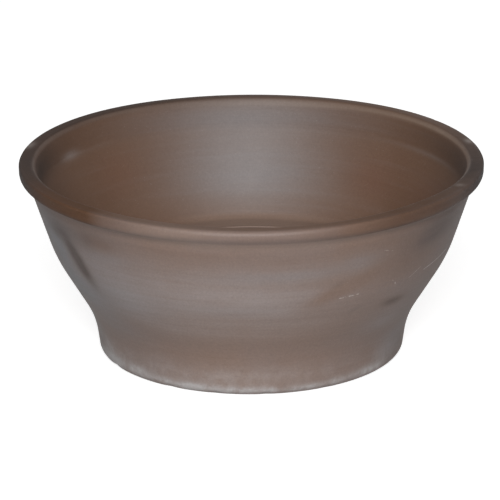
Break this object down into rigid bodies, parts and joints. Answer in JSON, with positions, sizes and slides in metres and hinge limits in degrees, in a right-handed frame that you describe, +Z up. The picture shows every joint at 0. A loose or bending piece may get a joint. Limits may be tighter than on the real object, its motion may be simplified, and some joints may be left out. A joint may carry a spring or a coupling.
{
  "type": "ikebana suiban",
  "caption": "Round footed clay bowl with a rolled rim, inner collar and waisted hollow foot, holding a needle flower holder that lifts out.",
  "frame": {"origin": "centre of the foot's resting face", "axes": "+Z up along the bowl's axis, -Y towards the viewer of the picture, +X to the right"},
  "size_m": [0.3, 0.3, 0.1262],
  "materials": {
    "clay": "unglazed fired clay, matt with a soft sheen, dark brown under a grey bloom",
    "lead": "cast lead, dull grey",
    "rubber": "matt black rubber",
    "needle_brass": "drawn brass wire, lightly tarnished"
  },
  "bodies": {
    "vessel": {"bowl": "clay"},
    "kenzan": {"kenzan_base": "lead", "kenzan_ring": "rubber", "kenzan_needles": "needle_brass"}
  },
  "joints": [
    {"name": "kenzan_lift", "type": "slide", "parent": "vessel", "child": "kenzan", "axis": [0, 0, 1], "range_m": [0, 0.1]}
  ]
}
